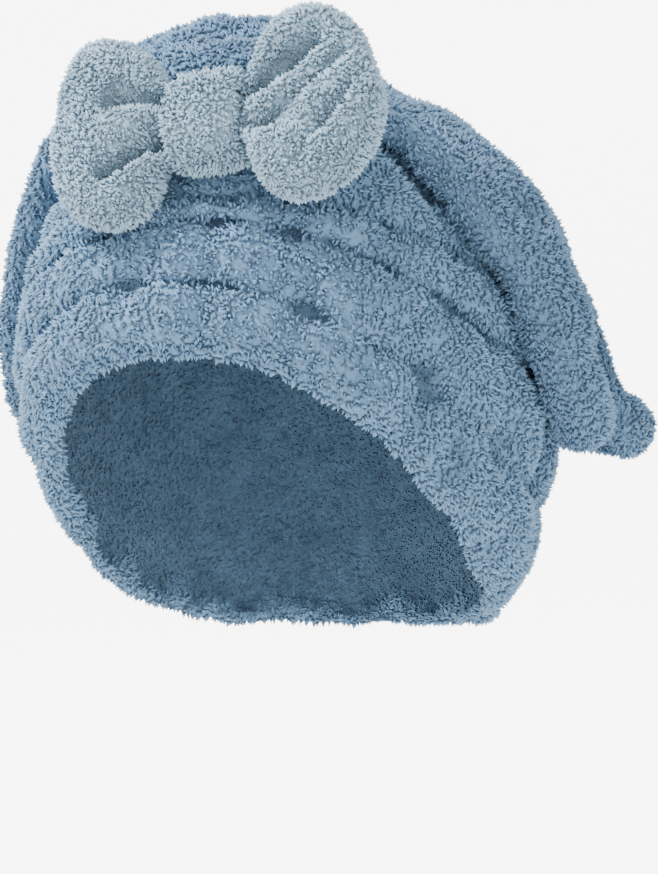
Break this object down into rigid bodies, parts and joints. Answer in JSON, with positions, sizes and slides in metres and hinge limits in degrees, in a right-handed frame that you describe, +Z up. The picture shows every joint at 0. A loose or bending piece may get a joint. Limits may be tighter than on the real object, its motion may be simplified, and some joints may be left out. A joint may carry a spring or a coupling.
{
  "type": "hair turban towel",
  "caption": "Plush hair-drying turban with a shirred elastic band, a slouchy crown that hangs behind and a soft bow over the front.",
  "frame": {"origin": "the middle of the wearer's head at its widest level, where the head holds the turban", "axes": "+Z up along the head, +X to the wearer's left, -Y to the face"},
  "size_m": [0.2371, 0.2522, 0.2392],
  "materials": {
    "band_plush": "deep plush fleece, soft short pile",
    "crown_plush": "deep plush fleece, soft short pile",
    "bow_plush": "lighter deep plush fleece, soft short pile"
  },
  "bodies": {
    "root": {"shirred_band": "band_plush", "crown_pouch": "crown_plush", "bow": "bow_plush", "bow_knot": "bow_plush"}
  },
  "joints": []
}
